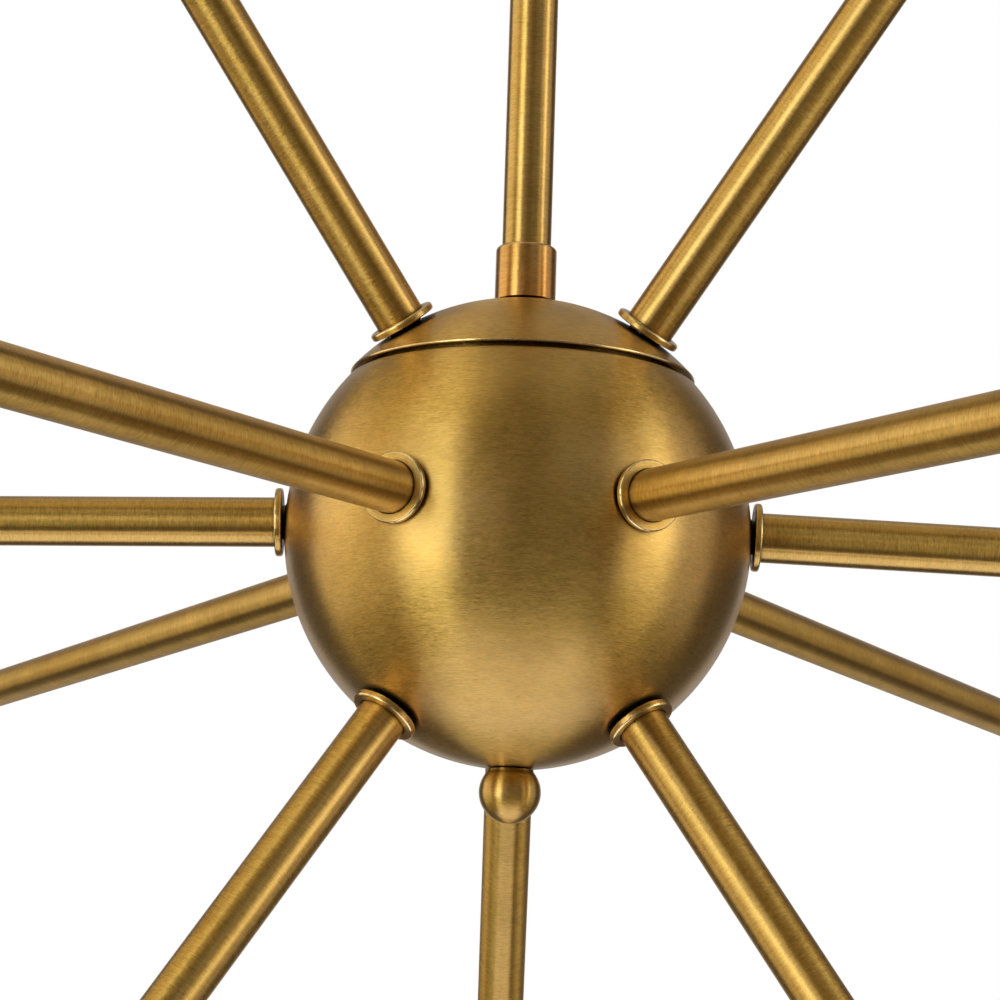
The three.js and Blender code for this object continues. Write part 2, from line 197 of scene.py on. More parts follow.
def applied(made):
    """Puts the object's modifiers into its mesh."""
    bpy.context.view_layer.update()
    evaluated = made.evaluated_get(bpy.context.evaluated_depsgraph_get())
    mesh = bpy.data.meshes.new_from_object(evaluated)
    made.modifiers.clear()
    made.data = mesh
    return made


def combine(made, others, operation="DIFFERENCE"):
    """Cuts the other solids from an object, or adds them to it."""
    for other in others:
        step = made.modifiers.new(operation, "BOOLEAN")
        step.operation = operation
        step.solver = "EXACT"
        step.object = other
    applied(made)
    for other in others:
        bpy.data.objects.remove(other)
    return made


def bevelled(made, width):
    """Rounds the object's sharp edges, by a width in millimetres."""
    step = made.modifiers.new("edges", "BEVEL")
    step.width = width * MM
    step.segments = 3
    step.limit_method = "ANGLE"
    step.angle_limit = math.radians(40)
    return applied(made)


def finish(made, name, body, slot, *nodes):
    """Makes an object one of the chandelier's pieces."""
    made.name = name
    mesh = made.data
    mesh.name = name
    mesh.shade_smooth()
    mesh.set_sharp_from_angle(angle=math.radians(32))
    mesh.materials.clear()
    mesh.materials.append(FINISHES[slot])
    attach(made, body)
    if nodes:
        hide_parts(*nodes)


def turned(name, corners, place, body, slot, *nodes, around=ROUND, closed=True):
    """Makes a turned piece from its profile."""
    finish(solid(lathe(corners, around, closed), place), name, body, slot, *nodes)


# ---- Where the CAD's nodes are ----
def upright(node_name):
    """(place, length, radius) of a node that stands on the vertical."""
    low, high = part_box(node_name)
    centre = (low + high) / 2
    place = Matrix.Translation((centre.x, centre.y, low.z))
    return place, (high.z - low.z) / MM, (high.x - low.x) / 2 / MM


def leaning(node_name, axis):
    """(place, length) of a turned node whose axis leans."""
    vertices = frame["nodes"][node_name].data.vertices
    corners = {tuple(round(c, 6) for c in v.co) for v in vertices}
    points = [Vector(c) for c in corners]
    middle = sum(points, Vector()) / len(points)
    along = [(p - middle).dot(axis) for p in points]
    turn = axis.to_track_quat("Z", "Y").to_matrix().to_4x4()
    place = Matrix.Translation(middle + axis * min(along)) @ turn
    return place, (max(along) - min(along)) / MM


# ---- Materials ----
def shader(name):
    material = bpy.data.materials.new(name)
    material.use_nodes = True
    return material, material.node_tree, material.node_tree.nodes["Principled BSDF"]


def node(tree, kind, inputs=(), **settings):
    """A node with its settings. Its inputs are {name or number: value, or a socket to link}."""
    made = tree.nodes.new(kind)
    for key, value in settings.items():
        setattr(made, key, value)
    for key, value in dict(inputs).items():
        if isinstance(value, bpy.types.NodeSocket):
            tree.links.new(value, made.inputs[key])
        else:
            made.inputs[key].default_value = value
    return made


def maths(tree, operation, a, b=0.5, c=0.5):
    return node(tree, "ShaderNodeMath", {0: a, 1: b, 2: c}, operation=operation).outputs[0]


def spread(tree, value, low, high):
    """The value, 0 to 1, spread from low to high."""
    inputs = {"Value": value, "To Min": low, "To Max": high}
    return node(tree, "ShaderNodeMapRange", inputs).outputs["Result"]


def stretched(tree, value, low, high):
    """The value's part from low to high, stretched to run from 0 to 1."""
    inputs = {"Value": value, "From Min": low, "From Max": high}
    return node(tree, "ShaderNodeMapRange", inputs).outputs["Result"]


def blend_colours(tree, amount, first, second, blend_type="MIX"):
    mix = tree.nodes.new("ShaderNodeMix")
    mix.data_type = "RGBA"
    mix.blend_type = blend_type
    for number, value in ((0, amount), (6, first), (7, second)):
        if isinstance(value, bpy.types.NodeSocket):
            tree.links.new(value, mix.inputs[number])
        else:
            mix.inputs[number].default_value = value
    return mix.outputs[2]


def noise(tree, place, scale, detail=2.0, roughness=0.5):
    inputs = {"Vector": place, "Scale": scale, "Detail": detail, "Roughness": roughness}
    return node(tree, "ShaderNodeTexNoise", inputs).outputs["Fac"]


def brushing(tree, length, width, detail=3.0):
    """Fine lines round the piece's own axis, of a length and a width in millimetres."""
    place = node(tree, "ShaderNodeTexCoord").outputs["Object"]
    scale = (1 / (length * MM), 1 / (length * MM), 1 / (width * MM))
    scaled = node(tree, "ShaderNodeVectorMath", {0: place, 1: scale}, operation="MULTIPLY")
    flat = node(tree, "ShaderNodeVectorMath", {0: place, 1: (1, 1, 0)}, operation="MULTIPLY")
    out = node(tree, "ShaderNodeVectorMath", {0: flat.outputs[0]}, operation="LENGTH")
    own = node(tree, "ShaderNodeObjectInfo").outputs["Random"]
    rings = maths(tree, "MULTIPLY_ADD", out.outputs["Value"], 1 / (width * MM), own)
    inputs = {"Vector": scaled.outputs[0], "W": rings, "Scale": 1.0, "Detail": detail}
    lines = node(tree, "ShaderNodeTexNoise", inputs, noise_dimensions="4D")
    return lines.outputs["Fac"]


# Painted shade: the near-black colour that creases, gaps and joints between parts are painted with
CREASE_SHADE = (0.02, 0.012, 0.004, 1)
CREASE = 3.3  # how wide a crease the painted shade fills, in millimetres
GLOSS_SPREAD = 0.16  # how far the roughness strays to either side, from line to line
BURNISH = -0.14  # what burnishing does to the roughness


def brushed_metal(name, tones, tarnish, burnished_highlight, roughness, anisotropy=0.88, coat=0.0):
    """Metal brushed round each piece's axis: a dark and a light tone, tinted in soft patches, with
    painted shade in its creases and, along its rounded edges, a painted highlight that is partly
    metal rubbed bright."""
    material, tree, bsdf = shader(name)
    place = node(tree, "ShaderNodeTexCoord").outputs["Object"]
    coarse = brushing(tree, length=2.6, width=0.34)
    fine = brushing(tree, length=1.1, width=0.2, detail=1.0)
    lines = maths(tree, "MULTIPLY_ADD", coarse, 0.5, maths(tree, "MULTIPLY", fine, 0.5))
    patches = noise(tree, place, scale=60, detail=4, roughness=0.6)
    tone = maths(tree, "MULTIPLY_ADD", patches, 0.3, maths(tree, "MULTIPLY", lines, 0.7))
    colour = blend_colours(tree, stretched(tree, tone, 0.35, 0.65), *tones)
    stains = noise(tree, place, scale=38, detail=5, roughness=0.65)
    stains = maths(tree, "MULTIPLY", stretched(tree, stains, 0.48, 0.72), 0.8)
    colour = blend_colours(tree, stains, colour, tarnish, blend_type="MULTIPLY")
    # Painted shade: the colour darkens to near-black where nearby surfaces close in (ambient
    # occlusion)
    open_air = node(tree, "ShaderNodeAmbientOcclusion", {"Distance": CREASE * MM}, samples=6)
    unshaded = stretched(tree, open_air.outputs["AO"], 0.3, 0.64)
    colour = blend_colours(tree, unshaded, CREASE_SHADE, colour)
    # Painted highlight on rounded edges, partly metal rubbed bright: a paler, brighter colour
    # there
    wear_and_highlight = node(tree, "ShaderNodeAttribute", attribute_name="wear_and_highlight").outputs["Fac"]
    wear_and_highlight = maths(tree, "MULTIPLY", wear_and_highlight, spread(tree, patches, 0.4, 1.3))
    colour = blend_colours(tree, wear_and_highlight, colour, burnished_highlight)
    tree.links.new(colour, bsdf.inputs["Base Color"])
    rough = spread(tree, lines, roughness - GLOSS_SPREAD, roughness + GLOSS_SPREAD)
    rough = maths(tree, "MULTIPLY_ADD", wear_and_highlight, BURNISH, rough)
    tree.links.new(rough, bsdf.inputs["Roughness"])
    bump = {"Height": lines, "Strength": 0.6, "Distance": 0.0001}
    tree.links.new(node(tree, "ShaderNodeBump", bump).outputs["Normal"], bsdf.inputs["Normal"])
    tangent = node(tree, "ShaderNodeTangent", direction_type="RADIAL", axis="Z")
    tree.links.new(tangent.outputs["Tangent"], bsdf.inputs["Tangent"])
    bsdf.inputs["Metallic"].default_value = 1.0
    bsdf.inputs["Anisotropic"].default_value = anisotropy
    bsdf.inputs["Anisotropic Rotation"].default_value = 0.25
    bsdf.inputs["Coat Weight"].default_value = coat
    bsdf.inputs["Coat Roughness"].default_value = 0.3
    return material


def moulded(name, base, roughness, mottle, metallic=0.0):
    """A plain moulded or lacquered surface, with a fine grain."""
    material, tree, bsdf = shader(name)
    place = node(tree, "ShaderNodeTexCoord").outputs["Object"]
    grain = noise(tree, place, scale=900, detail=3, roughness=0.6)
    clouds = noise(tree, place, scale=70, detail=3)
    colour = blend_colours(tree, clouds, base, mottle)
    tree.links.new(colour, bsdf.inputs["Base Color"])
    tree.links.new(spread(tree, grain, roughness - 0.1, roughness + 0.1), bsdf.inputs["Roughness"])
    bump = {"Height": grain, "Strength": 0.2, "Distance": 0.00005}
    tree.links.new(node(tree, "ShaderNodeBump", bump).outputs["Normal"], bsdf.inputs["Normal"])
    bsdf.inputs["Metallic"].default_value = metallic
    return material


# Each finish's edge colour is partly metal rubbed bright and partly a painted highlight
FINISHES = {
    "satin_brass": brushed_metal(
        "satin_brass",
        ((0.46, 0.252, 0.034, 1), (0.88, 0.51, 0.102, 1)),
        tarnish=(0.97, 0.88, 0.66, 1),
        burnished_highlight=(0.98, 0.70, 0.28, 1),
        roughness=0.36,
        coat=0.45,
    ),
    "warm_brass": brushed_metal(
        "warm_brass",
        ((0.51, 0.24, 0.032, 1), (0.92, 0.46, 0.092, 1)),
        tarnish=(1.0, 0.74, 0.45, 1),
        burnished_highlight=(0.98, 0.67, 0.27, 1),
        roughness=0.33,
        coat=0.45,
    ),
    "zinc_steel": brushed_metal(
        "zinc_steel",
        ((0.50, 0.51, 0.53, 1), (0.66, 0.67, 0.69, 1)),
        tarnish=(0.9, 0.92, 0.96, 1),
        burnished_highlight=(0.8, 0.8, 0.82, 1),
        roughness=0.36,
        anisotropy=0.4,
    ),
    "screw_shell": brushed_metal(
        "screw_shell",
        ((0.72, 0.52, 0.22, 1), (0.84, 0.66, 0.34, 1)),
        tarnish=(0.9, 0.75, 0.5, 1),
        burnished_highlight=(0.95, 0.85, 0.6, 1),
        roughness=0.26,
        anisotropy=0.3,
    ),
    "ground_green": moulded(
        "ground_green", (0.03, 0.22, 0.08, 1), 0.42, (0.06, 0.32, 0.13, 1), metallic=0.4
    ),
    "holder_insulator": moulded(
        "holder_insulator", (0.016, 0.015, 0.014, 1), 0.45, (0.035, 0.031, 0.028, 1)
    ),
}


# ---- Shapes that several pieces share ----
def hexagon(turn):
    """A hexagon's radius at a turn, for one whose corners are 1 from its middle."""
    beside = (turn * 6) % 1 - 0.5
    return math.cos(math.pi / 6) / math.cos(beside * math.pi / 3)


def nut_corners(radius, bore, length, pitch):
    """A hexagon nut's profile, with chamfered corners and a threaded bore."""

    def flats(chamfer):
        return lambda turn, z: min(radius * hexagon(turn), radius * 0.88 + chamfer)

    depth = 0.45 * pitch
    return [
        (radius * 0.8, 0),
        (radius * 0.88, 0, flats(0)),
        (radius, 0.3, flats(0.5)),
        (radius, 0.7, flats(1.2)),
        (radius, length - 0.7, flats(1.2)),
        (radius, length - 0.3, flats(0.5)),
        (radius * 0.88, length, flats(0)),
        (radius * 0.8, length),
        (bore + 0.5, length),
        *thread(bore + depth, length - 0.3, 0.3, pitch, depth),
        (bore + 0.5, 0),
    ]


def across(place, x=0.0, z=0.0, about="X", angle=0.0):
    """A place moved by millimetres in its own frame, and turned by degrees."""
    move = Matrix.Translation((x * MM, 0, z * MM))
    return place @ move @ Matrix.Rotation(math.radians(angle), 4, about)


def drill(place, radius, low, high, around=SMALL):
    """A cylinder along Z, most often to cut with."""
    return solid(lathe([(0, low), (radius, low), (radius, high), (0, high)], around, False), place)


def slot_cutter(place, width, length, low, high):
    sides = ((-1, -1), (1, -1), (1, 1), (-1, 1))
    outline = [(x * length / 2, y * width / 2) for x, y in sides]
    return solid(prism(outline, low, high), place)


# ---- Arms ----
RIM = "lampholder_rim_"
ARMS = {
    mount["name"].removeprefix(RIM): Vector(mount["axis"]).normalized()
    for mount in frame["record"]["mounts"]
    if mount["name"].startswith(RIM)
}


def arm_tube(label, axis):
    node_name = f"arm_tube_{label}"
    place, length = leaning(node_name, axis)
    seat = (leaning(f"arm_washer_{label}", axis)[0].translation - place.translation).length / MM
    radius = upright("stem_lower")[2]
    plug = 6  # how far the threaded end reaches into the tube
    corners = [
        (THREAD_BORE, 0, 0.2),
        (THREAD_R - 0.6, 0),
        *thread(THREAD_R, 0.5, seat - 0.6, THREAD_PITCH, THREAD_DEPTH),
        (THREAD_R - THREAD_DEPTH, seat),
        (radius, seat, 0.25),
        (radius, length, 0.2),
        (TUBE_BORE, length, 0.2),
        (TUBE_BORE, seat + plug),
        (THREAD_BORE, seat + plug),
    ]
    turned(f"{node_name}_visual", corners, place, "pendant", "satin_brass", node_name)
    nut = nut_corners(8, NUT_BORE, 4.5, THREAD_PITCH)
    turned(f"arm_locknut_{label}", nut, across(place, z=4), "pendant", "zinc_steel", around=NUT)


def arm_washer(label, axis):
    node_name = f"arm_washer_{label}"
    place, thickness = leaning(node_name, axis)
    radius, bore = 8.75, 6.5
    corners = [
        (bore, 0, 0.1),
        (radius, 0, 0.5),
        (radius, thickness, 0.6),
        (bore, thickness, 0.12),
    ]
    turned(f"{node_name}_visual", corners, place, "pendant", "satin_brass", node_name)


def lampholder(label, axis):
    node_name = f"lampholder_{label}"
    place, length = leaning(node_name, axis)
    radius, skin = 16.2, 1.1
    floor = length - SOCKET_DEPTH
    cup = [
        (6.5, 0, 0.2),
        (9, 0, 0.8),
        (9, 5.4, 1.6),
        (radius, 12.2, 5),
        (radius, length, 0.5),
        (radius - skin, length, 0.5),
        (radius - skin, 13.4, 4),
        (6.5, 7.2, 0.2),
    ]
    turned(f"{node_name}_cup", cup, place, "pendant", "satin_brass", node_name)
    liner = radius - skin - 0.05
    insulator = [
        (THREAD_BORE, floor - 4, 0.3),
        (liner, floor - 4, 0.4),
        (liner, length - 1.2, 0.35),
        (liner - 0.95, length - 1.2, 0.35),
        (liner - 0.95, floor, 0.6),
        (8.2, floor, 0.3),
        (7.4, floor - 0.8, 0.3),
        (THREAD_BORE, floor - 0.8, 0.3),
    ]
    turned(f"{node_name}_insulator", insulator, place, "pendant", "holder_insulator")
    crest, sheet = SHELL_R + SHELL_DEPTH, 0.3
    top = length - 3.2
    shell = [
        (9.2, floor + 0.05, 0.1),
        (crest - 0.2, floor + 0.05, 0.5),
        *thread(crest + sheet, floor + 1.6, top - 1, SHELL_PITCH, SHELL_DEPTH),
        (crest + sheet, top, 0.15),
        (crest, top, 0.15),
        *thread(crest, top - 1, floor + 1.6, SHELL_PITCH, SHELL_DEPTH),
        (crest - 0.6, floor + 0.4, 0.3),
        (9.2, floor + 0.4, 0.1),
    ]
    turned(f"{node_name}_screw_shell", shell, place, "pendant", "screw_shell")
    contact = [
        (0, floor - 2.2),
        (2.4, floor - 2.2, 0.2),
        (2.4, floor - 0.8),
        (4.6, floor - 0.8, 0.2),
        (4.6, floor - 0.3, 0.2),
        (3.2, floor + 0.4, 1.2),
        (1.6, floor + 1.9, 1.0),
        (0, floor + 2.1),
    ]
    turned(
        f"{node_name}_contact", contact, place, "pendant", "screw_shell",
        around=SMALL, closed=False,
    )


for label, axis in ARMS.items():
    arm_tube(label, axis)
    arm_washer(label, axis)
    lampholder(label, axis)


# ---- Ball ----
body_low, body_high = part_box("hub_body")
BALL_R = (body_high.x - body_low.x) / 2 / MM
HUB = Matrix.Translation((0, 0, body_low.z + BALL_R * MM))


def arm_drills(rows):
    """Cutters for the holes that the arms' threaded ends go through."""
    cutters = []
    for label, axis in ARMS.items():
        if label.split("_")[0] in rows:
            washer, _ = leaning(f"arm_washer_{label}", axis)
            cutters.append(drill(washer, THREAD_R + GAP, -9, 3))
    return cutters


def hub_body():
    shoulder = BALL_R * math.cos(BODY_EDGE)
    edge = 90 - math.degrees(BODY_EDGE)
    hole = ROD_END_R + GAP
    inner = BALL_R - WALL
    under = shoulder - WALL
    lip_top = (body_high.z - HUB.translation.z) / MM
    corners = [
        *arc(0, 0, BALL_R, math.degrees(-math.acos(hole / BALL_R)), edge - 0.5, 90),
        (BALL_R * math.sin(BODY_EDGE) - 0.1, shoulder - 0.12),
        (BALL_R * math.sin(BODY_EDGE) - 0.35, shoulder),
        (LIP_R, shoulder, 0.3),
        (LIP_R, lip_top, 0.4),
        (LIP_R - WALL, lip_top, 0.4),
        (LIP_R - WALL, under, 0.3),
        *arc(0, 0, inner, math.degrees(math.asin(under / inner)), -86.5, 60),
    ]
    ball = combine(solid(lathe(corners, FINE), HUB), arm_drills(("middle", "lower")))
    finish(ball, "hub_body_visual", "pendant", "satin_brass", "hub_body")


def hub_lid():
    edge = 90 - math.degrees(LID_EDGE)
    hole = THREAD_R + GAP
    crown = math.degrees(math.acos(hole / BALL_R))
    inner = BALL_R - LID_SHEET
    under = arc(0, LID_LIFT, inner, math.degrees(math.acos(hole / inner)), edge, 40)
    outside = arc(0, LID_LIFT, BALL_R, edge, crown, 60)
    corners = [*under[:-1], (*under[-1], 0.12), (*outside[0], 0.4), *outside[1:]]
    lid = combine(solid(lathe(corners, FINE), HUB), arm_drills(("upper",)))
    finish(lid, "hub_lid_visual", "pendant", "satin_brass", "hub_lid")


def hub_collar():
    place, length, radius = upright("hub_collar")
    bore = upright("stem_lower")[2] + STEM_FIT
    shelf = length - 10.3  # where the stem ends
    corners = [
        (THREAD_R + GAP, 0, 0.2),
        (radius, 0, 0.2),
        (radius, length, 1.1),
        (bore, length, 0.12),
        (bore, shelf, 0.2),
        (THREAD_R + GAP, shelf, 0.2),
    ]
    turned("hub_collar_visual", corners, place, "pendant", "warm_brass", "hub_collar")


def centre_rod():
    place, length, _ = upright("centre_rod")
    step = 16  # where the thin end stops
    bottom = step + 20  # of the wire way
    corners = [
        (0, 0),
        (ROD_END_R - 0.6, 0, 0.1),
        *thread(ROD_END_R, 0.5, step - 1, SMALL_PITCH, 0.45),
        (ROD_END_R - 0.45, step, 0.1),
        (THREAD_R - 0.6, step, 0.2),
        *thread(THREAD_R, step + 0.6, length - 0.5, THREAD_PITCH, THREAD_DEPTH),
        (THREAD_R - 0.6, length, 0.1),
        (THREAD_BORE, length, 0.2),
        (THREAD_BORE, bottom, 0.2),
        (0, bottom),
    ]
    turned(
        "centre_rod_visual", corners, place, "pendant", "zinc_steel", "centre_rod",
        around=SMALL, closed=False,
    )


def finial():
    place, length, radius = upright("finial")
    flat = 5.9  # radius of the seat under the ball
    hole_end = radius - 4
    seat = GAP + BALL_R - math.sqrt(BALL_R**2 - flat**2) - 0.05
    height = math.sqrt(radius**2 - flat**2)
    bore = ROD_END_R + GAP
    corners = [
        *arc(0, radius, radius, -90, math.degrees(math.atan2(height, flat)), 40),
        (flat - 0.1, length + seat),
        (bore, length + 0.2),
        (bore, hole_end, 0.2),
        (0, hole_end),
    ]
    turned("finial_visual", corners, place, "pendant", "satin_brass", "finial", closed=False)


def locknut(node_name, body):
    place, length, radius = upright(node_name)
    corners = nut_corners(radius, NUT_BORE, length, THREAD_PITCH)
    turned(f"{node_name}_visual", corners, place, body, "zinc_steel", node_name, around=NUT)


hub_body()
hub_lid()
hub_collar()
centre_rod()
finial()
locknut("lid_locknut", "pendant")


# ---- Stem ----
def stem_tube(node_name):
    place, length, radius = upright(node_name)
    corners = [
        (TUBE_BORE, 0, 0.2),
        (radius, 0, 0.25),
        (radius, length, 0.25),
        (TUBE_BORE, length, 0.2),
    ]
    turned(f"{node_name}_visual", corners, place, "pendant", "satin_brass", node_name)


def stem_coupling():
    place, length, radius = upright("stem_coupling")
    bore = upright("stem_lower")[2] + STEM_FIT
    land = 1
    corners = [
        (bore, 0, 0.12),
        (radius, 0, 0.9),
        (radius, length, 0.9),
        (bore, length, 0.12),
        (bore, length / 2 + land, 0.1),
        (THREAD_BORE, length / 2 + land, 0.3),
        (THREAD_BORE, length / 2 - land, 0.3),
        (bore, length / 2 - land, 0.1),
    ]
    turned("stem_coupling_visual", corners, place, "pendant", "satin_brass", "stem_coupling")


stem_tube("stem_lower")
stem_tube("stem_upper")
stem_coupling()


# ---- Swivel ----
pin_low, pin_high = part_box("swivel_pin")
PIVOT = Matrix.Translation((0, 0, (pin_low.z + pin_high.z) / 2))
ACROSS = PIVOT @ Matrix.Rotation(math.radians(90), 4, "Y")
KNUCKLE = 7  # half the width of a cheek or the tongue
CLEAR = 9.5  # from the pivot to the flat of either half
CHEEK_IN, CHEEK_OUT = 4.2, 8  # from the middle to a cheek's two faces
TONGUE = 3.8  # half the tongue's thickness
PIN_HOLE = 2.7
PIN_R = 2.4
PIN_HEAD_R = 3.6
SWIVEL_EDGE = 0.35
THROUGH = 12  # how far a cutter reaches to pass right through


def knuckle(inner, outer, away):
    """A cheek or the tongue: straight on one side of the pivot, round on the other."""
    sweep = [math.radians(a) for a in range(0, 181, 6)]
    # In the outline X is the piece's Z, and Y is its Y.
    outline = [(KNUCKLE * -away * math.sin(a), KNUCKLE * math.cos(a)) for a in sweep]
    outline += [(away * (CLEAR + 1), -KNUCKLE), (away * (CLEAR + 1), KNUCKLE)]
    stand = PIVOT @ Matrix(((0, 0, 1, 0), (0, 1, 0, 0), (1, 0, 0, 0), (0, 0, 0, 1)))
    return solid(prism(outline, inner, outer), stand)


def swivel_fork():
    low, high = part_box("swivel_fork")
    top = (high.z - PIVOT.translation.z) / MM
    radius = (high.x - low.x) / 2 / MM
    disc = drill(PIVOT, radius, CLEAR, top, ROUND)
    cheeks = [knuckle(CHEEK_IN, CHEEK_OUT, 1), knuckle(-CHEEK_OUT, -CHEEK_IN, 1)]
    fork = combine(disc, cheeks, "UNION")
    cutters = [
        drill(ACROSS, PIN_HOLE, -THROUGH, THROUGH),
        drill(PIVOT, THREAD_R + GAP, CLEAR - 1, top + 1),
    ]
    bevelled(combine(fork, cutters), SWIVEL_EDGE)
    finish(fork, "swivel_fork_visual", "swivel_head", "satin_brass", "swivel_fork")


def swivel_tongue():
    low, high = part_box("swivel_tongue")
    foot = (low.z - PIVOT.translation.z) / MM
    radius = (high.x - low.x) / 2 / MM
    spigot = 9
    base = [
        (0, foot),
        (THREAD_R - 0.6, foot, 0.2),
        *thread(THREAD_R, foot + 0.5, foot + spigot - 0.6, THREAD_PITCH, THREAD_DEPTH),
        (THREAD_R - 0.5, foot + spigot),
        (radius, foot + spigot, 0.5),
        (radius, -CLEAR, 0.5),
        (0, -CLEAR),
    ]
    tongue = bevelled(knuckle(-TONGUE, TONGUE, -1), SWIVEL_EDGE)
    whole = combine(solid(lathe(base, ROUND, False), PIVOT), [tongue], "UNION")
    wire_way = 3.1
    wire_exit = PIVOT @ Matrix.Translation((0, 0, (2 - CLEAR) * MM))
    cutters = [
        drill(ACROSS, PIN_HOLE, -THROUGH, THROUGH),
        drill(PIVOT, wire_way, foot - 1, 1.5 - CLEAR),
        drill(wire_exit @ Matrix.Rotation(math.radians(90), 4, "X"), 2.6, -THROUGH, THROUGH),
    ]
    combine(whole, cutters)
    finish(whole, "swivel_tongue_visual", "pendant", "satin_brass", "swivel_tongue")


def swivel_pin():
    half = (pin_high.x - pin_low.x) / 2 / MM
    head = 1.3
    corners = [
        (0, -half),
        (PIN_HEAD_R, -half, 0.8),
        (PIN_HEAD_R, head - half, 0.15),
        (PIN_R, head - half),
        (PIN_R, half - head),
        (PIN_HEAD_R, half - head, 0.15),
        (PIN_HEAD_R, half, 0.8),
        (0, half),
    ]
    turned(
        "swivel_pin_visual", corners, ACROSS, "swivel_head", "zinc_steel", "swivel_pin",
        around=SMALL, closed=False,
    )


swivel_fork()
swivel_tongue()
swivel_pin()


# ---- Ceiling fitting ----
def canopy():
    place, height, radius = upright("canopy")
    wall, corner, hem = 1.2, 4, 3
    outside = arc(radius - corner, corner, corner, -90, 0, 12)
    inside = arc(radius - corner, corner, corner - wall, 0, -90, 10)
    corners = [
        (THREAD_R + GAP, 0, 0.2),
        *outside,
        (radius, height, 0.25),
        (radius - hem, height, 0.2),
        (radius - hem, height - wall, 0.2),
        (radius - wall, height - wall, 0.2),
        *inside,
        (THREAD_R + GAP, wall, 0.2),
    ]
    dish = solid(lathe(corners, FINE), place)
    studs = [upright(f"canopy_stud_{side}")[0] for side in ("left", "right")]
    combine(dish, [drill(stud, SMALL_THREAD_R + GAP, 0, THROUGH) for stud in studs])
    finish(dish, "canopy_visual", "ceiling_fitting", "satin_brass", "canopy")


def round_ended(half_length, half_width, centre=0.0):
    """Outline of a bar or a slot with round ends."""
    steps = 16
    reach = half_length - half_width
    outline = []
    for side, start in ((1, -90), (-1, 90)):
        for k in range(steps + 1):
            a = math.radians(start + 180 * k / steps)
            outline.append(
                (centre + side * reach + half_width * math.cos(a), half_width * math.sin(a))
            )
    return outline


def crossbar():
    low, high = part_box("crossbar")
    length, width = (high.x - low.x) / MM, (high.y - low.y) / MM
    place = Matrix.Translation((0, 0, low.z))
    thickness = (high.z - low.z) / MM
    bar = solid(prism(round_ended(length / 2, width / 2), 0, thickness), place)
    small = SMALL_THREAD_R + GAP
    ground_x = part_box("ground_screw")[0].x / MM + 3.9  # the screw's radius
    stud_x = upright("canopy_stud_right")[0].translation.x / MM
    slot_x = upright("mounting_screw_right")[0].translation.x / MM
    holes = [(0, THREAD_R + GAP), (ground_x, small), (stud_x, small), (-stud_x, small)]
    cutters = [drill(across(place, x=x), radius, -1, thickness + 1) for x, radius in holes]
    for x in (-slot_x, slot_x):
        cutters.append(solid(prism(round_ended(small + 2.5, small, x), -1, thickness + 1), place))
    combine(bar, cutters)
    finish(bevelled(bar, 0.3), "crossbar_visual", "ceiling_fitting", "zinc_steel", "crossbar")


def threaded_rod(node_name, pitch, bore=0.0):
    place, length, radius = upright(node_name)
    depth = THREAD_DEPTH * pitch
    outside = [
        (radius - depth, 0, 0.1),
        *thread(radius, 0.5, length - 0.5, pitch, depth),
        (radius - depth, length, 0.1),
    ]
    if bore:
        corners = [(bore, 0, 0.2), *outside, (bore, length, 0.2)]
    else:
        corners = [(0, 0), *outside, (0, length)]
    turned(
        f"{node_name}_visual", corners, place, "ceiling_fitting", "zinc_steel", node_name,
        around=SMALL, closed=bool(bore),
    )


def canopy_knob(node_name):
    place, length, radius = upright(node_name)
    bore = SMALL_THREAD_R + GAP
    rows = 22
    ridges, lead, depth = 30, 2.2, 0.5  # of the knurling
    low, high = 1.6, length - 1.2
    hole_end = length - 7

    def knurl(turn, z):
        along = lead * (z - low) / (high - low)
        beside = [abs((turn * ridges + side * along) % 1 - 0.5) for side in (-1, 1)]
        return radius - depth * max(beside)

    corners = [
        (0, 0),
        (3.6, 0, 0.4),
        (radius - 0.3, 1.3),
        *[(radius, low + (high - low) * k / rows, knurl) for k in range(rows + 1)],
        (radius - 0.3, length - 0.9),
        (4.1, length, 0.2),
        (bore, length, 0.2),
        (bore, hole_end, 0.2),
        (0, hole_end),
    ]
    turned(
        f"{node_name}_visual", corners, place, "ceiling_fitting", "satin_brass", node_name,
        around=KNURLED, closed=False,
    )


def pan_screw(node_name, slot, cross):
    """A round-headed screw with one slot, or two that cross."""
    place, length, radius = upright(node_name)
    head = 2.6
    corners = [
        (0, 0),
        (1.6, 0.02),
        (3.0, 0.5, 1.0),
        (radius, 1.5, 0.5),
        (radius, head, 0.2),
        (SMALL_THREAD_R - 0.3, head),
        *thread(SMALL_THREAD_R, head + 0.6, length - 0.6, SMALL_PITCH, 0.42),
        (SMALL_THREAD_R - 0.7, length),
        (0, length),
    ]
    screw = solid(lathe(corners, SMALL, False), place)
    width, depth = 0.9, 1.1
    long, angles = (4.4, (30, 120)) if cross else (9, (30,))
    ways = [across(place, about="Z", angle=angle) for angle in angles]
    combine(screw, [slot_cutter(way, width, long, -1, depth) for way in ways])
    finish(screw, f"{node_name}_visual", "ceiling_fitting", slot, node_name)


canopy()
crossbar()
threaded_rod("canopy_nipple", THREAD_PITCH, THREAD_BORE)
locknut("crossbar_locknut", "ceiling_fitting")
locknut("canopy_locknut", "ceiling_fitting")
pan_screw("ground_screw", "ground_green", cross=False)
for side in ("left", "right"):
    threaded_rod(f"canopy_stud_{side}", SMALL_PITCH)
    canopy_knob(f"canopy_knob_{side}")
    pan_screw(f"mounting_screw_{side}", "zinc_steel", cross=True)


# ---- Studio ----
LIGHT_DISTANCE = 3.0  # metres, from the ball's centre


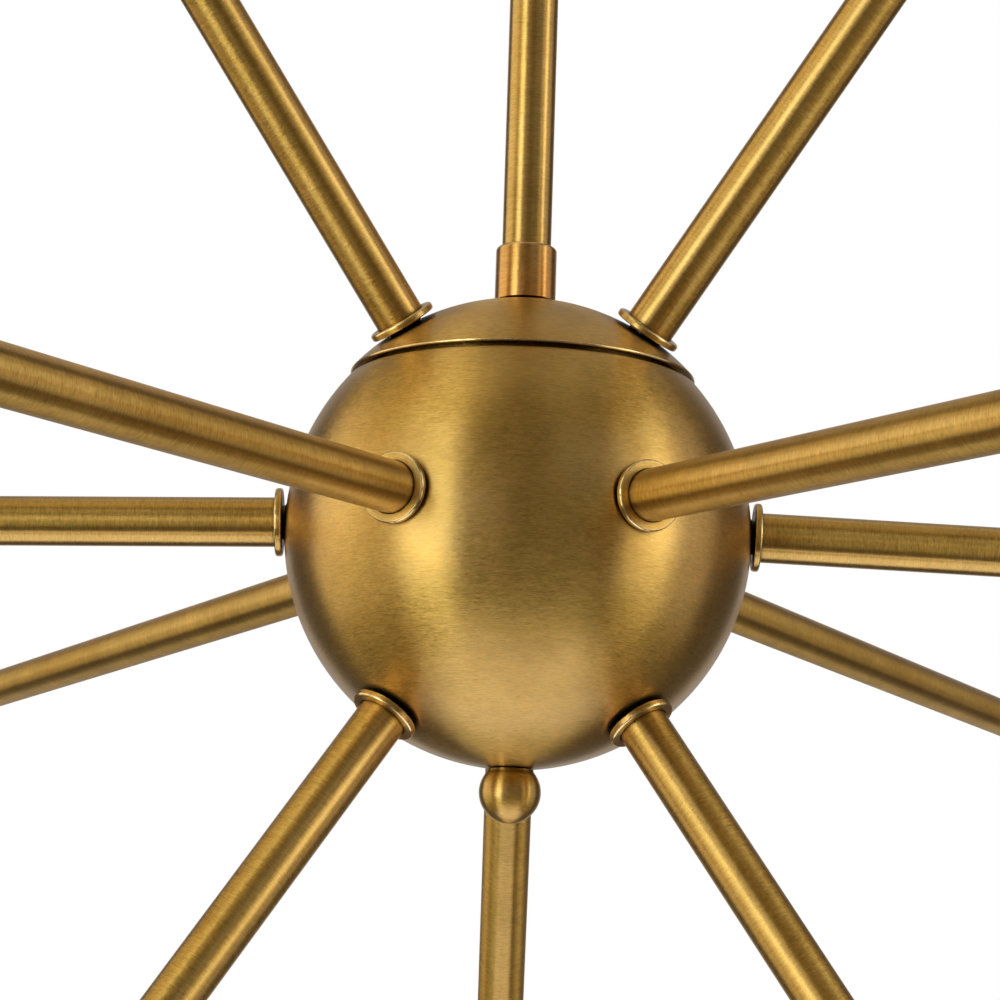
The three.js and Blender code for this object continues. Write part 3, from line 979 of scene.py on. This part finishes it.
def softbox(name, azimuth, elevation, width, height, radiance, colour=(1, 1, 1)):
    """A soft rectangle of light that faces the ball. Azimuth is measured from the camera's
    side, towards the right; the width and height are the angles it fills, in degrees."""
    a, e = math.radians(azimuth), math.radians(elevation)
    away = Vector((math.sin(a) * math.cos(e), -math.cos(a) * math.cos(e), math.sin(e)))
    light = bpy.data.lights.new(name, "AREA")
    light.shape = "RECTANGLE"
    light.size = 2 * LIGHT_DISTANCE * math.tan(math.radians(width / 2))
    light.size_y = 2 * LIGHT_DISTANCE * math.tan(math.radians(height / 2))
    light.color = colour
    light.energy = radiance * math.pi * light.size * light.size_y
    made = bpy.data.objects.new(name, light)
    scene.collection.objects.link(made)
    made.location = HUB.translation + away * LIGHT_DISTANCE
    made.rotation_euler = away.to_track_quat("Z", "Y").to_euler()
    made.visible_camera = False


softbox("key", -47, -7, 27, 38, 3.0, (0.73, 0.84, 1))
softbox("key_core", -40, 6, 14, 30, 2.8, (0.6, 0.76, 1))
softbox("key_high", -47, 34, 27, 16, 1.9, (0.78, 0.83, 1))
softbox("key_edge", -21, 4, 25, 16, 0.9, (0.78, 0.78, 1))
softbox("left_fill", -90, 8, 60, 68, 0.7, (1, 0.97, 0.88))
softbox("left_wrap", -99, 11, 42, 30, 0.7, (0.74, 0.81, 1))
softbox("left_top", -70, 58, 50, 30, 0.5, (1, 0.94, 0.62))
softbox("right_key", 66, 0, 28, 52, 1.2, (0.92, 0.95, 1))
softbox("right_core", 73, 11, 14, 30, 2.5, (0.69, 0.78, 1))
softbox("right_high", 66, 34, 28, 16, 1.15, (0.73, 0.79, 1))
softbox("right_fill", 95, 8, 30, 68, 0.62, (0.77, 0.78, 1))
softbox("front_right", 36, 26, 32, 30, 0.42, (0.6, 0.7, 1))
softbox("front", 6, 8, 28, 68, 0.08)
softbox("overhead", 0, 89, 50, 50, 0.36)
softbox("back_top", 180, 58, 50, 30, 0.26)
softbox("underneath", 0, -89, 60, 60, 1.75, (0.65, 0.72, 1))
softbox("behind", 180, 10, 60, 60, 0.33)


def surroundings():
    """White where the camera sees past the object, and a dim warm room everywhere else."""
    world = bpy.data.worlds.new("studio")
    scene.world = world
    world.use_nodes = True
    tree = world.node_tree
    tree.nodes.clear()
    seen = node(tree, "ShaderNodeBackground", {"Color": (1, 1, 1, 1), "Strength": 1.0})
    room = node(tree, "ShaderNodeBackground", {"Color": (1, 0.9, 0.74, 1), "Strength": 0.095})
    path = node(tree, "ShaderNodeLightPath")
    mix = node(tree, "ShaderNodeMixShader", {0: path.outputs["Is Camera Ray"]})
    tree.links.new(room.outputs[0], mix.inputs[1])
    tree.links.new(seen.outputs[0], mix.inputs[2])
    out = node(tree, "ShaderNodeOutputWorld")
    tree.links.new(mix.outputs[0], out.inputs["Surface"])


surroundings()


def floor():
    """A pale floor, clear from below so that it doesn't hide the object."""
    material, tree, bsdf = shader("floor")
    place = node(tree, "ShaderNodeTexCoord").outputs["Object"]
    tone = spread(tree, noise(tree, place, scale=3, detail=4), 0.3, 0.34)
    colour = node(tree, "ShaderNodeCombineColor", {0: tone, 1: tone, 2: tone})
    tree.links.new(colour.outputs[0], bsdf.inputs["Base Color"])
    bsdf.inputs["Roughness"].default_value = 0.9
    bsdf.inputs["Emission Color"].default_value = (1, 1, 1, 1)
    bsdf.inputs["Emission Strength"].default_value = 0.7
    below = node(tree, "ShaderNodeNewGeometry").outputs["Backfacing"]
    clear = node(tree, "ShaderNodeBsdfTransparent")
    mix = node(tree, "ShaderNodeMixShader", {0: below})
    tree.links.new(bsdf.outputs[0], mix.inputs[1])
    tree.links.new(clear.outputs[0], mix.inputs[2])
    tree.links.new(mix.outputs[0], tree.nodes["Material Output"].inputs["Surface"])
    reach, depth = 6, 0.45  # metres: half its width, and how far it is below the object
    bm = bmesh.new()
    bmesh.ops.create_grid(bm, x_segments=2, y_segments=2, size=reach)
    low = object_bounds()[0].z - depth
    made = solid(bm, Matrix.Translation((0, 0, low)), "floor")
    made.data.materials.append(material)
    made.visible_glossy = False
    made.visible_shadow = False
    made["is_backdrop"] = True


floor()


# ---- Camera ----
camera_data = bpy.data.cameras.new("camera")
camera_data.lens = 105.58
camera_data.sensor_width = 36
camera = bpy.data.objects.new("camera", camera_data)
scene.collection.objects.link(camera)
EYE = Vector((-6.7, -740.3, -128.7)) * MM  # from the ball's centre
turn = Matrix.Rotation(math.radians(-0.144), 4, "Z")
pitch = Matrix.Rotation(math.radians(90 + 10.566), 4, "X")
roll = Matrix.Rotation(math.radians(1.841), 4, "Z")
camera.matrix_world = Matrix.Translation(HUB.translation + EYE) @ turn @ pitch @ roll
scene.camera = camera
scene.view_settings.view_transform = "Standard"
